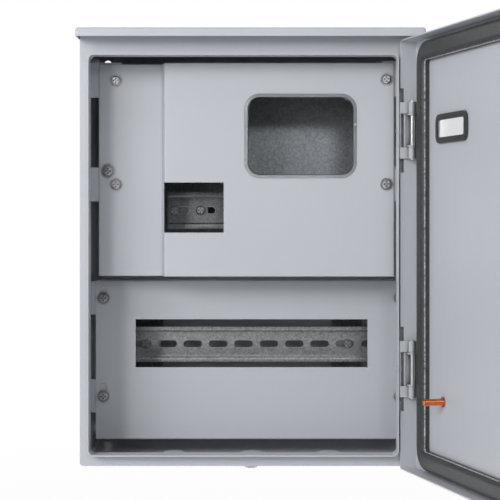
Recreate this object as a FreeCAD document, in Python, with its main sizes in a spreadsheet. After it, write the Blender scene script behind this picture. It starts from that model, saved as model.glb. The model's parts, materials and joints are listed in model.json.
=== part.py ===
import FreeCAD, Part

import math
import os
from types import SimpleNamespace

import Sketcher

# Wall-hung electric meter box of folded sheet steel, in millimetres.
# X runs to the right, Y into the wall and Z up. The origin is the centre of the four wall holes,
# on the outside of the back. The door stands open: its pieces are drawn shut and turned about the hinge pins.

SIZES = (
    # Shell
    ("box_width", 310, "outside width"),
    ("box_height", 394, "outside height without the canopy"),
    ("box_depth", 165, "back to front flange"),
    ("sheet", 1.2, "steel sheet of shell, canopy, covers and door"),
    ("bend_radius", 3, "outer radius of the long corners"),
    ("rim_left", 9, "front flange beside the opening, left"),
    ("rim_right", 22.7, "front flange beside the opening, right"),
    ("rim_bottom", 11.2, "front flange below the opening"),
    ("rim_top", 22.1, "front flange above the opening"),
    ("lip_height", 11, "lip that stands forward round the opening"),
    ("lip_return", 8, "lip behind the front flange's face"),
    ("lip_radius", 4.5, "inner corner radius of the lip"),
    ("wall_hole_diameter", 7.5, "holes for the wall screws"),
    ("wall_hole_side", 9, "shell's side to the wall holes"),
    ("wall_hole_end", 14, "shell's top or bottom to the wall holes"),
    # Canopy
    ("canopy_gap", 0.8, "canopy skirt to shell side"),
    ("canopy_lift", 0.4, "canopy above the shell's top"),
    ("canopy_overhang", 21, "canopy front ahead of the front flange"),
    ("canopy_skirt", 8, "height of the canopy edge"),
    ("canopy_radius", 2.5, "outer bends of the canopy"),
    # Meter cover
    ("cover_setback", 22, "raised face of the meter cover behind the front flange"),
    ("cover_step", 15, "depth of the fold in the meter cover"),
    ("cover_step_run", 3.4, "sideways run of the fold"),
    ("cover_strip", 59, "width of the sunk strip"),
    ("cover_left_gap", 11.8, "shell wall to the meter cover's left edge"),
    ("cover_right_gap", 21.5, "shell wall to the meter cover's right edge"),
    ("cover_top_gap", 25.3, "shell top to the meter cover"),
    ("cover_height", 196.4, "height of the meter cover"),
    ("cover_return", 8, "edge bent back along both sides"),
    ("cover_bend", 1.7, "outer bend radius of the covers"),
    ("relief_gap", 1, "bracket to the notch in a bent-back edge"),
    ("meter_slot_width", 55, "cut-out for three modules"),
    ("meter_slot_height", 46.2, "height of that cut-out"),
    ("meter_slot_drop", 109.9, "meter cover's top to the cut-out"),
    ("meter_slot_bite", 0.6, "how far the cut-out reaches into the fold"),
    ("window_left_gap", 18.9, "cut-out to the window"),
    ("window_right_gap", 34.7, "window to the meter cover's right edge"),
    ("window_drop", 28, "meter cover's top to the window"),
    ("window_height", 78.2, "height of the window opening"),
    ("window_radius", 14.5, "corner radius of the window opening"),
    ("pane_wall", 1.5, "thickness of the clear pane"),
    ("pane_proud", 2, "pane ahead of the meter cover"),
    ("pane_flange", 8, "pane flange behind the meter cover"),
    ("pane_shoulder", 1.8, "rounded edge of the pane"),
    ("seat_gap", 2.8, "pane to the edge of its opening"),
    ("pane_tab", 20, "height of the snap tabs beside the pane"),
    ("pane_tab_proud", 0.6, "snap tabs ahead of the meter cover"),
    # Screws of both covers and their brackets
    ("meter_screw_left", 16.3, "meter cover's left edge to the screws"),
    ("meter_screw_right", 7.6, "meter cover's right edge to the screws"),
    ("meter_screw_top", 14.8, "meter cover's top to the upper screws"),
    ("meter_screw_pitch", 96.6, "upper to lower screws of the meter cover"),
    ("cover_head_diameter", 8.8, "head of a meter cover screw"),
    ("cover_head_height", 2.6, "height of that head"),
    ("washer_diameter", 11.5, "washer under a meter cover screw"),
    ("washer_thickness", 0.8, "thickness of the washers"),
    ("screw_diameter", 5, "thread of the cover and rail screws"),
    ("screw_length", 12, "length of those screws under the head"),
    ("screw_play", 0.05, "radial room round a screw"),
    ("hole_play", 0.5, "radial room of a clearance hole"),
    ("seal_screw_shift", 7.4, "sealing screw left of the screw below it"),
    ("seal_screw_rise", 12.5, "sealing screw above the screw below it"),
    ("seal_washer_diameter", 13, "washer of the sealing screw"),
    ("bracket_height", 31.5, "height of a cover bracket"),
    ("bracket_head", 1, "added height of the uppermost brackets"),
    ("bracket_leg", 33.5, "front leg of a cover bracket"),
    ("bracket_side", 30, "side leg of a cover bracket"),
    ("bracket_sheet", 1.5, "sheet of brackets, supports and meter plate"),
    ("bracket_bend", 2.5, "outer bend radius of a cover bracket"),
    # Breaker cover
    ("breaker_setback", 67, "breaker cover behind the front flange"),
    ("breaker_side_gap", 6, "shell wall to the breaker cover"),
    ("breaker_bottom_gap", 13.7, "shell floor to the breaker cover"),
    ("breaker_height", 151.2, "height of the breaker cover"),
    ("breaker_return", 10, "edge bent back along top and bottom"),
    ("breaker_slot_width", 220, "cut-out for twelve modules"),
    ("breaker_slot_height", 45.5, "height of that cut-out"),
    ("breaker_slot_drop", 37.3, "breaker cover's top to the cut-out"),
    ("breaker_screw_side", 7.2, "breaker cover's edge to its screws"),
    ("breaker_screw_top", 17.1, "breaker cover's top to the upper screws"),
    ("breaker_screw_pitch", 93, "upper to lower screws of the breaker cover"),
    ("breaker_washer_diameter", 11.8, "washer under a breaker cover screw"),
    ("keyhole_width", 7, "slot over a breaker cover screw"),
    ("keyhole_rise", 9, "length of that slot above the screw"),
    # Rails and what carries them
    ("rail_width", 35, "standard mounting rail"),
    ("rail_depth", 7.5, "depth of the rail"),
    ("rail_web", 27, "width of the rail's back"),
    ("rail_sheet", 1, "sheet of the rail"),
    ("rail_slot_length", 18, "slots in the rail"),
    ("rail_slot_width", 6.2, "width of those slots"),
    ("rail_slot_pitch", 25, "pitch of those slots"),
    ("rail_screw_shift", 3.2, "screw beside the middle of its slot"),
    ("rail_head_diameter", 8.5, "head of a rail screw"),
    ("lower_rail_left", 7.7, "shell wall to the lower rail's left end"),
    ("lower_rail_right", 24.9, "shell wall to the lower rail's right end"),
    ("lower_rail_drop", 5.2, "lower rail below the middle of its cut-out"),
    ("lower_slot_start", 12.5, "lower rail's left end to the middle of its first slot"),
    ("upper_rail_length", 75, "length of the upper rail"),
    ("upper_rail_drop", 2.2, "upper rail below the middle of its cut-out"),
    ("upper_slot_start", 10.8, "upper rail's left end to the middle of its first slot"),
    ("upper_screw_shift", 5, "screws of the upper rail beside their slots"),
    ("support_depth", 34.3, "height of a rail support"),
    ("support_width", 30, "width of a lower rail support"),
    ("upper_support_width", 39, "width of the upper rail support"),
    ("support_crown", 30, "bearing face of a support"),
    ("support_foot", 12, "foot of a support"),
    ("plate_standoff", 48.5, "meter plate in front of the shell's back"),
    ("plate_side_gap", 28.8, "shell wall to the meter plate"),
    ("plate_top_gap", 24, "shell top to the meter plate"),
    ("plate_height", 190, "height of the meter plate"),
    ("plate_radius", 5, "corner radius of the meter plate"),
    ("bar_end_gap", 15, "meter plate's side to the end of a bar"),
    ("bar_inset", 25, "meter plate's edge to the middle of a bar"),
    ("plate_screw_inset", 25, "meter plate's side to its screws"),
    # Door
    ("door_open_degrees", 105, "door angle, 0 is shut"),
    ("door_side_gap", 2, "door inside the shell's width, each side"),
    ("door_below", 1.5, "door below the shell"),
    ("door_top_drop", 8.6, "door's top below the shell's top"),
    ("door_face", 18.8, "door's inner face ahead of the front flange"),
    ("door_rim_gap", 3, "door's edge ahead of the front flange"),
    ("door_bend", 2.5, "outer bends of the door"),
    ("axis_inset", 9.5, "hinge axis inside the shell's side"),
    ("axis_ahead", 12.2, "hinge axis ahead of the front flange"),
    ("gasket_width", 17, "width of the seal"),
    ("gasket_gap", 0.5, "seal to the lip when shut"),
    ("gasket_side_lap", 3.4, "seal outside the lip, left and right"),
    ("gasket_end_lap", 8.5, "seal outside the lip, top and bottom"),
    ("gasket_radius", 20, "outer corner radius of the seal"),
    ("gasket_crown", 4.5, "rounded edge of the seal"),
    # Hinges
    ("hinge_top", 81.6, "door's top to the middle of the upper hinge"),
    ("hinge_bottom", 90.3, "door's lower edge to the middle of the lower hinge"),
    ("knuckle_height", 10, "height of a knuckle"),
    ("knuckle_space", 30.7, "between the knuckles of a hinge"),
    ("hinge_sheet", 1.5, "sheet of the hinge pieces"),
    ("hinge_play", 0.3, "axial room beside a knuckle"),
    ("pin_diameter", 4, "hinge pin"),
    ("pin_play", 0.05, "radial room round the hinge pin"),
    ("pin_proud", 1.3, "pin beyond its knuckles"),
    ("leaf_gap", 0.3, "hinge leaf ahead of the front flange"),
    ("ear_radius", 4, "round end of the door bracket's ears"),
    ("bracket_reach", 5.4, "door bracket to each side of the hinge axis"),
    ("notch_height", 76, "notch in the door's edge at a hinge"),
    ("notch_depth", 3.4, "depth of that notch"),
    ("rivet_diameter", 4, "hinge rivet"),
    ("rivet_head_diameter", 6.4, "head of the hinge rivet"),
    ("rivet_head_height", 1, "height of that head"),
    # Door fittings
    ("door_window_right", 58.9, "door's hinge edge to its window"),
    ("door_window_drop", 75.7, "door's top to its window"),
    ("door_window_width", 60, "width of the door window"),
    ("door_window_height", 15, "height of the door window"),
    ("door_window_radius", 2, "corner radius of the door window"),
    ("seal_lap", 2.5, "pane beside the door window, and window seal beside the pane"),
    ("seal_height", 2.4, "window seal above the sheet"),
    ("lock_inset", 33, "door's free edge to the lock"),
    ("lock_diameter", 18, "threaded body of the lock"),
    ("lock_collar_diameter", 24, "collar of the lock outside"),
    ("lock_collar_height", 2.5, "height of that collar"),
    ("lock_plug_diameter", 12, "turning plug"),
    ("lock_plug_play", 0.05, "radial room round the plug"),
    ("lock_nut_across", 22, "nut of the lock across flats"),
    ("lock_nut_height", 5, "height of that nut"),
    ("cam_gap", 0.6, "cam behind the lip when shut"),
    ("cam_thickness", 2, "thickness of the cam"),
    ("cam_width", 15, "width of the cam"),
    ("cam_overlap", 3.5, "cam beyond the lip, sideways"),
    ("cam_square", 7, "square that drives the cam"),
    ("driver_width", 7, "side of the key recess"),
    ("driver_depth", 6, "depth of the key recess"),
    ("stud_diameter", 5.5, "door's earth stud"),
    ("stud_length", 19, "length of the door's earth stud"),
    ("stud_collar_diameter", 9, "weld collar of the stud"),
    ("stud_collar_height", 1.2, "height of that collar"),
    ("stud_inset", 67.5, "door's hinge edge to the earth stud"),
    ("stud_rise", 67.4, "door's lower edge to the earth stud"),
    # Floor
    ("earth_back", 25, "earth bolt behind the front flange"),
    ("earth_diameter", 6, "thread of the earth bolt"),
    ("earth_length", 9.4, "length of the earth bolt under the head"),
    ("earth_head_across", 10, "hexagon of the earth bolt and nut"),
    ("earth_head_height", 4, "height of the bolt head"),
    ("earth_nut_height", 5, "height of the earth nut"),
    ("earth_washer_diameter", 12.5, "washer of the earth bolt"),
    ("grommet_back", 55, "cable entries behind the front flange"),
    ("grommet_pitch", 73, "pitch of the cable entries"),
    ("grommet_diameter", 28, "hole of a cable entry"),
    ("grommet_play", 0.1, "radial room of a grommet's neck"),
    ("grommet_wall", 2, "rubber wall of a grommet"),
    ("grommet_lap", 3, "grommet beside its hole"),
    ("grommet_top_diameter", 16, "flat top of a grommet"),
    ("grommet_crown", 4.2, "height of a grommet above the floor"),
)

SHEET_NAME = "sizes"
NEAR = 0.01


class Size:
    """A length: its value and the sheet expression that gives it."""

    def __init__(self, value, text):
        self.value = value
        self.text = text

    def __add__(self, other):
        other = as_size(other)
        return Size(self.value + other.value, f"({self.text} + {other.text})")

    def __sub__(self, other):
        other = as_size(other)
        return Size(self.value - other.value, f"({self.text} - {other.text})")

    def __mul__(self, other):
        other = as_size(other)
        return Size(self.value * other.value, f"{self.text} * {other.text}")

    def __truediv__(self, other):
        other = as_size(other)
        return Size(self.value / other.value, f"{self.text} / {other.text}")

    def __neg__(self):
        return Size(-self.value, f"(0 - {self.text})")

    def root(self):
        return Size(math.sqrt(self.value), f"sqrt({self.text})")


def as_size(number):
    if isinstance(number, Size):
        return number
    return Size(float(number), f"({float(number):.9f})")


def make_sheet(document):
    """The sheet of driving dimensions, and each of them as a Size."""
    sheet = document.addObject("Spreadsheet::Sheet", SHEET_NAME)
    for row, (name, value, note) in enumerate(SIZES, 1):
        sheet.set(f"A{row}", name)
        sheet.set(f"B{row}", str(value))
        sheet.set(f"C{row}", note)
        sheet.setAlias(f"B{row}", name)
    document.recompute()
    known = {name: Size(float(sheet.get(name)), f"{SHEET_NAME}.{name}") for name, value, note in SIZES}
    return SimpleNamespace(**known)


doc = FreeCAD.newDocument("meter_box")
d = make_sheet(doc)
zero = as_size(0)

# Places that several pieces share
half_width = d.box_width / 2
half_height = d.box_height / 2
front = -d.box_depth
inner_side = half_width - d.sheet
inner_top = half_height - d.sheet
inner_back = -d.sheet
opening_left = d.rim_left - half_width
opening_right = half_width - d.rim_right
opening_bottom = d.rim_bottom - half_height
opening_top = half_height - d.rim_top
lip_tip = front - d.lip_height

cover_left = d.cover_left_gap - inner_side
cover_right = inner_side - d.cover_right_gap
cover_top = inner_top - d.cover_top_gap
cover_bottom = cover_top - d.cover_height
raised_face = front + d.cover_setback
strip_face = raised_face + d.cover_step
fold_left = cover_left + d.cover_strip
fold_right = fold_left + d.cover_step_run
meter_slot_left = fold_right - d.meter_slot_bite
meter_slot_right = meter_slot_left + d.meter_slot_width
meter_slot_top = cover_top - d.meter_slot_drop
meter_slot_bottom = meter_slot_top - d.meter_slot_height
window_left = meter_slot_right + d.window_left_gap
window_right = cover_right - d.window_right_gap
window_top = cover_top - d.window_drop
window_bottom = window_top - d.window_height
meter_screw_left = cover_left + d.meter_screw_left
meter_screw_right = cover_right - d.meter_screw_right
meter_screw_top = cover_top - d.meter_screw_top
meter_screw_bottom = meter_screw_top - d.meter_screw_pitch
seal_screw_across = meter_screw_left - d.seal_screw_shift
seal_screw_up = meter_screw_bottom + d.seal_screw_rise

breaker_face = front + d.breaker_setback
breaker_side = inner_side - d.breaker_side_gap
breaker_bottom = d.breaker_bottom_gap - inner_top
breaker_top = breaker_bottom + d.breaker_height
breaker_slot_top = breaker_top - d.breaker_slot_drop
breaker_slot_bottom = breaker_slot_top - d.breaker_slot_height
breaker_screw_side = breaker_side - d.breaker_screw_side
breaker_screw_top = breaker_top - d.breaker_screw_top
breaker_screw_bottom = breaker_screw_top - d.breaker_screw_pitch

plate_back = inner_back - d.plate_standoff
plate_front = plate_back - d.bracket_sheet
plate_side = inner_side - d.plate_side_gap
plate_top = inner_top - d.plate_top_gap
plate_bottom = plate_top - d.plate_height
bar_top = plate_top - d.bar_inset
bar_bottom = plate_bottom + d.bar_inset
plate_screw_side = plate_side - d.plate_screw_inset

lower_rail_left = d.lower_rail_left - inner_side
lower_rail_right = inner_side - d.lower_rail_right
lower_rail_up = (breaker_slot_top + breaker_slot_bottom) / 2 - d.lower_rail_drop
lower_rail_back = inner_back - d.support_depth
upper_rail_left = fold_right
upper_rail_up = (meter_slot_top + meter_slot_bottom) / 2 - d.upper_rail_drop
upper_rail_back = plate_front - d.support_depth

axis_across = half_width - d.axis_inset
axis_along = front - d.axis_ahead
door_inner = front - d.door_face
door_outer = door_inner - d.sheet
door_edge = front - d.door_rim_gap
door_side = half_width - d.door_side_gap
door_bottom = -half_height - d.door_below
door_top = half_height - d.door_top_drop
door_window_right = door_side - d.door_window_right
door_window_left = door_window_right - d.door_window_width
door_window_middle = door_top - d.door_window_drop - d.door_window_height / 2
lock_across = d.lock_inset - door_side
cam_front = front + d.lip_return + d.cam_gap
leaf_back = front - d.leaf_gap
barrel_radius = d.pin_diameter / 2 + d.pin_play + d.hinge_sheet
upper_hinge_up = door_top - d.hinge_top
lower_hinge_up = door_bottom + d.hinge_bottom
earth_along = front + d.earth_back
grommet_along = front + d.grommet_back
screw_radius = d.screw_diameter / 2
thread_radius = screw_radius + d.screw_play
rivet_along = (leaf_back + axis_along + barrel_radius) / 2

nodes = []


# Sketches and features

def bind(thing, path, size):
    thing.setExpression(path, as_size(size).text)


def new_body(name, is_node=True):
    body = doc.addObject("PartDesign::Body", name)
    body.Label = name
    if is_node:
        nodes.append(body)
    return body


def origin_feature(body, role):
    return next(item for item in body.Origin.OriginFeatures if item.Role == role)


def new_sketch(body, plane, offset):
    """A sketch on one of the body's own planes, moved along that plane's normal."""
    sketch = body.newObject("Sketcher::SketchObject", f"{body.Name}_sketch")
    sketch.AttachmentSupport = [(origin_feature(body, plane), "")]
    sketch.MapMode = "FlatFace"
    bind(sketch, "AttachmentOffset.Base.z", offset)
    return sketch


def front_sketch(body, along):
    """A sketch that looks along Y, with X across and Z up, at this Y."""
    return new_sketch(body, "XZ_Plane", -as_size(along))


def top_sketch(body, up):
    """A sketch with X across and Y up, at this Z."""
    return new_sketch(body, "XY_Plane", up)


def side_sketch(body, across):
    """A sketch with Y across and Z up, at this X."""
    return new_sketch(body, "YZ_Plane", across)


def point(across, up):
    return FreeCAD.Vector(as_size(across).value, as_size(up).value, 0)


def fix_point(sketch, geometry, position, across, up):
    for kind, size in (("DistanceX", as_size(across)), ("DistanceY", as_size(up))):
        rule = Sketcher.Constraint(kind, -1, 1, geometry, position, size.value)
        bind(sketch, f"Constraints[{sketch.addConstraint(rule)}]", size)


def fix_radius(sketch, geometry, radius):
    rule = Sketcher.Constraint("Radius", geometry, as_size(radius).value)
    bind(sketch, f"Constraints[{sketch.addConstraint(rule)}]", radius)


def draw_outline(sketch, corners):
    first = sketch.GeometryCount
    count = len(corners)
    ends = [corners[(i + 1) % count] for i in range(count)]
    lines = [Part.LineSegment(point(*a), point(*b)) for a, b in zip(corners, ends)]
    sketch.addGeometry(lines, False)
    for i in range(count):
        sketch.addConstraint(Sketcher.Constraint("Coincident", first + i, 2, first + (i + 1) % count, 1))
    for i, corner in enumerate(corners):
        fix_point(sketch, first + i, 1, *corner)


def draw_rectangle(sketch, left, right, bottom, top):
    draw_outline(sketch, [(left, bottom), (right, bottom), (right, top), (left, top)])


def draw_rounded(sketch, left, right, bottom, top, radius):
    """A rectangle with round corners: arcs and sides that meet tangentially."""
    size = as_size(radius).value
    centres = [(right - radius, bottom + radius), (right - radius, top - radius),
               (left + radius, top - radius), (left + radius, bottom + radius)]
    normal = FreeCAD.Vector(0, 0, 1)
    quarter = math.pi / 2
    pieces = []
    for i, centre in enumerate(centres):
        turn = quarter * i
        out = FreeCAD.Vector(math.cos(turn), math.sin(turn), 0) * size
        pieces.append(Part.ArcOfCircle(Part.Circle(point(*centre), normal, size), turn - quarter, turn))
        pieces.append(Part.LineSegment(point(*centre) + out, point(*centres[(i + 1) % 4]) + out))
    first = sketch.addGeometry(pieces, False)[0]
    for i in range(8):
        sketch.addConstraint(Sketcher.Constraint("Tangent", first + i, 2, first + (i + 1) % 8, 1))
    for i, centre in enumerate(centres):
        fix_point(sketch, first + 2 * i, 3, *centre)
        fix_radius(sketch, first + 2 * i, radius)


def draw_circle(sketch, across, up, radius):
    circle = Part.Circle(point(across, up), FreeCAD.Vector(0, 0, 1), as_size(radius).value)
    geometry = sketch.addGeometry(circle, False)
    fix_point(sketch, geometry, 3, across, up)
    fix_radius(sketch, geometry, radius)


def draw_slot(sketch, first_end, second_end, radius):
    """A round-ended slot between two centres, the second to the right of the first or above it."""
    start, stop = point(*first_end), point(*second_end)
    turn = math.atan2(stop.y - start.y, stop.x - start.x)
    size = as_size(radius).value
    side = FreeCAD.Vector(-math.sin(turn), math.cos(turn), 0) * size
    normal = FreeCAD.Vector(0, 0, 1)
    quarter = math.pi / 2
    first = sketch.addGeometry([
        Part.ArcOfCircle(Part.Circle(stop, normal, size), turn - quarter, turn + quarter),
        Part.LineSegment(stop + side, start + side),
        Part.ArcOfCircle(Part.Circle(start, normal, size), turn + quarter, turn + 3 * quarter),
        Part.LineSegment(start - side, stop - side),
    ], False)[0]
    for i in range(4):
        sketch.addConstraint(Sketcher.Constraint("Tangent", first + i, 2, first + (i + 1) % 4, 1))
    fix_point(sketch, first, 3, *second_end)
    fix_point(sketch, first + 2, 3, *first_end)
    fix_radius(sketch, first, radius)
    fix_radius(sketch, first + 2, radius)


def pad(body, sketch, length):
    feature = body.newObject("PartDesign::Pad", f"{body.Name}_pad")
    feature.Profile = sketch
    bind(feature, "Length", length)
    doc.recompute()
    return feature


def pocket(body, sketch, length, along_normal=False):
    """Cut away from the sketch's normal, or along it, and make sure that something is cut."""
    before = body.Tip.Shape.Volume
    feature = body.newObject("PartDesign::Pocket", f"{body.Name}_pocket")
    feature.Profile = sketch
    feature.Reversed = along_normal
    bind(feature, "Length", length)
    doc.recompute()
    if feature.Shape.Volume >= before - NEAR:
        raise RuntimeError(f"{feature.Name} cuts nothing")
    return feature


def revolve(body, sketch, axis):
    feature = body.newObject("PartDesign::Revolution", f"{body.Name}_turned")
    feature.Profile = sketch
    feature.ReferenceAxis = (origin_feature(body, axis), [""])
    feature.Angle = 360
    doc.recompute()
    return feature


def treat_edges(body, kind, measure, size, wanted):
    base = body.Tip
    names = [f"Edge{n}" for n, edge in enumerate(base.Shape.Edges, 1) if wanted(edge)]
    if not names:
        raise RuntimeError(f"{body.Name} has no such edge")
    feature = body.newObject(f"PartDesign::{kind}", f"{body.Name}_{kind.lower()}")
    feature.Base = (base, names)
    bind(feature, measure, size)
    doc.recompute()


def round_edges(body, radius, wanted):
    """Round the edges of the body that pass a test."""
    treat_edges(body, "Fillet", "Radius", radius, wanted)


def bevel_edges(body, size, wanted):
    """Bevel the edges of the body that pass a test."""
    treat_edges(body, "Chamfer", "Size", size, wanted)


def is_near(value, size):
    return abs(value - as_size(size).value) < NEAR


def runs_along(edge, axis):
    """True for a straight edge along X, Y or Z."""
    if edge.Degenerated or edge.Curve.TypeId != "Part::GeomLine":
        return False
    return abs(abs(getattr(edge.Curve.Direction, axis)) - 1) < NEAR


def stands_at(edge, **places):
    """True where the middle of an edge has the given coordinates."""
    middle = edge.CenterOfMass
    return all(is_near(getattr(middle, axis), size) for axis, size in places.items())


def lies_in(edge, axis, place):
    """True where the whole edge lies in the plane at that coordinate."""
    box = edge.BoundBox
    low, high = getattr(box, f"{axis}Min"), getattr(box, f"{axis}Max")
    return is_near(low, place) and is_near(high, place)


def hexagon(across_flats):
    reach = across_flats / math.sqrt(3)
    turns = [math.radians(60 * i) for i in range(6)]
    return [(reach * math.cos(turn), reach * math.sin(turn)) for turn in turns]


def move_to(thing, across, along, up):
    for axis, size in (("x", across), ("y", along), ("z", up)):
        bind(thing, f"Placement.Base.{axis}", size)


def open_door(thing):
    """Turn a piece, drawn with the door shut, about the hinge axis."""
    turn = f"rotation(vector(0; 0; 1); {d.door_open_degrees.text})"
    centre = f"vector({axis_across.text}; {axis_along.text}; 0)"
    thing.setExpression("Placement", f"placement(vector(0; 0; 0); {turn}; {centre})")
    doc.recompute()


def group(name, original, places):
    """One node of equal pieces: a copy of the original at each place."""
    copies = []
    for number, place in enumerate(places, 1):
        copy = doc.addObject("App::Link", f"{name}_{number}")
        copy.LinkedObject = original
        move_to(copy, *place)
        copies.append(copy)
    collection = doc.addObject("Part::Compound", name)
    collection.Label = name
    collection.Links = copies
    doc.recompute()
    nodes.append(collection)
    return collection


# Shell and canopy

def make_shell():
    body = new_body("enclosure_shell")
    sketch = front_sketch(body, zero)
    draw_rectangle(sketch, -half_width, half_width, -half_height, half_height)
    pad(body, sketch, d.box_depth)
    round_edges(body, d.bend_radius, lambda edge: runs_along(edge, "y"))

    sketch = front_sketch(body, inner_back)
    draw_rectangle(sketch, -inner_side, inner_side, -inner_top, inner_top)
    pocket(body, sketch, d.box_depth - d.sheet * 2, along_normal=True)
    inside = d.bend_radius - d.sheet
    middle = -d.box_depth / 2
    round_edges(body, inside, lambda edge: runs_along(edge, "y") and any(
        stands_at(edge, x=inner_side * side, y=middle, z=inner_top * rise)
        for side in (-1, 1) for rise in (-1, 1)))

    opening = (opening_left, opening_right, opening_bottom, opening_top, d.lip_radius)
    sketch = front_sketch(body, front)
    draw_rounded(sketch, *opening)
    pocket(body, sketch, d.sheet)
    sketch = front_sketch(body, front + d.lip_return)
    draw_rounded(sketch, *opening)
    draw_rounded(sketch, opening_left - d.sheet, opening_right + d.sheet,
                 opening_bottom - d.sheet, opening_top + d.sheet, d.lip_radius + d.sheet)
    pad(body, sketch, d.lip_height + d.lip_return)

    sketch = front_sketch(body, inner_back)
    hole_across = half_width - d.wall_hole_side
    hole_up = half_height - d.wall_hole_end
    for side in (-1, 1):
        for rise in (-1, 1):
            draw_circle(sketch, hole_across * side, hole_up * rise, d.wall_hole_diameter / 2)
    pocket(body, sketch, d.sheet)

    sketch = top_sketch(body, -inner_top)
    for place in (-1, 0, 1):
        draw_circle(sketch, d.grommet_pitch * place, grommet_along, d.grommet_diameter / 2)
    draw_circle(sketch, zero, earth_along, d.earth_diameter / 2 + d.hole_play)
    pocket(body, sketch, d.sheet)

    sketch = side_sketch(body, opening_right + d.sheet)
    for up in (upper_hinge_up, lower_hinge_up):
        draw_circle(sketch, rivet_along, up, d.rivet_diameter / 2 + d.screw_play)
    pocket(body, sketch, d.sheet)


def make_canopy():
    body = new_body("rain_canopy")
    inside = half_width + d.canopy_gap
    edge_front = front - d.canopy_overhang
    top = half_height + d.canopy_lift + d.sheet
    skirt_bottom = top - d.canopy_skirt
    sketch = top_sketch(body, skirt_bottom)
    draw_rectangle(sketch, -inside - d.sheet, inside + d.sheet, edge_front, zero)
    pad(body, sketch, d.canopy_skirt)
    round_edges(body, d.canopy_radius, lambda edge: (runs_along(edge, "z") and stands_at(edge, y=edge_front))
                or (lies_in(edge, "Z", top) and not stands_at(edge, y=zero)))
    sketch = top_sketch(body, skirt_bottom)
    draw_rectangle(sketch, -inside, inside, edge_front + d.sheet, zero)
    pocket(body, sketch, d.canopy_skirt - d.sheet, along_normal=True)
    round_edges(body, d.canopy_radius - d.sheet,
                lambda edge: runs_along(edge, "z") and stands_at(edge, y=edge_front + d.sheet))


# Covers, their window, screws and brackets

def make_meter_cover():
    body = new_body("meter_cover")
    slant = (d.cover_step * d.cover_step + d.cover_step_run * d.cover_step_run).root()
    shift = d.sheet * d.cover_step / (slant + d.cover_step_run)
    strip_back = strip_face + d.sheet
    raised_back = raised_face + d.sheet
    sketch = top_sketch(body, cover_bottom)
    draw_outline(sketch, [
        (cover_left, strip_face + d.cover_return),
        (cover_left, strip_face),
        (fold_left, strip_face),
        (fold_right, raised_face),
        (cover_right, raised_face),
        (cover_right, raised_face + d.cover_return),
        (cover_right - d.sheet, raised_face + d.cover_return),
        (cover_right - d.sheet, raised_back),
        (fold_right + shift, raised_back),
        (fold_left + shift, strip_back),
        (cover_left + d.sheet, strip_back),
        (cover_left + d.sheet, strip_face + d.cover_return),
    ])
    pad(body, sketch, d.cover_height)
    outer = [(cover_left, strip_face), (fold_left + shift, strip_back),
             (fold_right, raised_face), (cover_right, raised_face)]
    inner = [(cover_left + d.sheet, strip_back), (fold_left, strip_face),
             (fold_right + shift, raised_back), (cover_right - d.sheet, raised_back)]
    for radius, corners in ((d.cover_bend, outer), (d.cover_bend - d.sheet, inner)):
        round_edges(body, radius, lambda edge: runs_along(edge, "z") and any(
            stands_at(edge, x=x, y=y) for x, y in corners))

    relief = d.bracket_height / 2 + d.bracket_head + d.relief_gap
    for side, face, rightward in ((cover_left, strip_face, True), (cover_right, raised_face, False)):
        sketch = side_sketch(body, side)
        for up in (meter_screw_bottom, meter_screw_top):
            draw_rectangle(sketch, face + d.sheet, face + d.cover_return, up - relief, up + relief)
        pocket(body, sketch, d.cover_bend, along_normal=rightward)

    sketch = front_sketch(body, raised_face)
    draw_rectangle(sketch, meter_slot_left, meter_slot_right, meter_slot_bottom, meter_slot_top)
    draw_rounded(sketch, window_left, window_right, window_bottom, window_top, d.window_radius)
    for up in (meter_screw_bottom, meter_screw_top):
        draw_circle(sketch, meter_screw_left, up, screw_radius + d.hole_play)
        draw_circle(sketch, meter_screw_right, up, screw_radius + d.hole_play)
    draw_circle(sketch, seal_screw_across, seal_screw_up, screw_radius + d.hole_play)
    pocket(body, sketch, d.cover_step + d.sheet)


def draw_window(sketch, grow):
    """The window opening's outline, made larger all round."""
    draw_rounded(sketch, window_left - grow, window_right + grow, window_bottom - grow, window_top + grow,
                 d.window_radius + grow)


def make_meter_window():
    """A clear blister: a flange behind the cover and a bulge that comes through its opening."""
    body = new_body("meter_window")
    flange_front = raised_face + d.sheet
    back = flange_front + d.pane_wall
    sketch = front_sketch(body, back)
    draw_window(sketch, d.pane_flange)
    pad(body, sketch, d.pane_wall)
    sketch = front_sketch(body, flange_front)
    draw_window(sketch, -d.seat_gap)
    pad(body, sketch, d.sheet + d.pane_proud)
    round_edges(body, d.pane_shoulder, lambda edge: lies_in(edge, "Y", raised_face - d.pane_proud))
    sketch = front_sketch(body, flange_front)
    middle = (window_top + window_bottom) / 2
    tab = d.pane_tab / 2
    slack = d.hole_play / 2
    root = d.seat_gap + d.pane_wall / 2
    draw_rectangle(sketch, window_left + slack, window_left + root, middle - tab, middle + tab)
    draw_rectangle(sketch, window_right - root, window_right - slack, middle - tab, middle + tab)
    pad(body, sketch, d.sheet + d.pane_tab_proud)
    sketch = front_sketch(body, back)
    draw_window(sketch, -d.seat_gap - d.pane_wall)
    pocket(body, sketch, d.sheet + d.pane_proud, along_normal=True)


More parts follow.
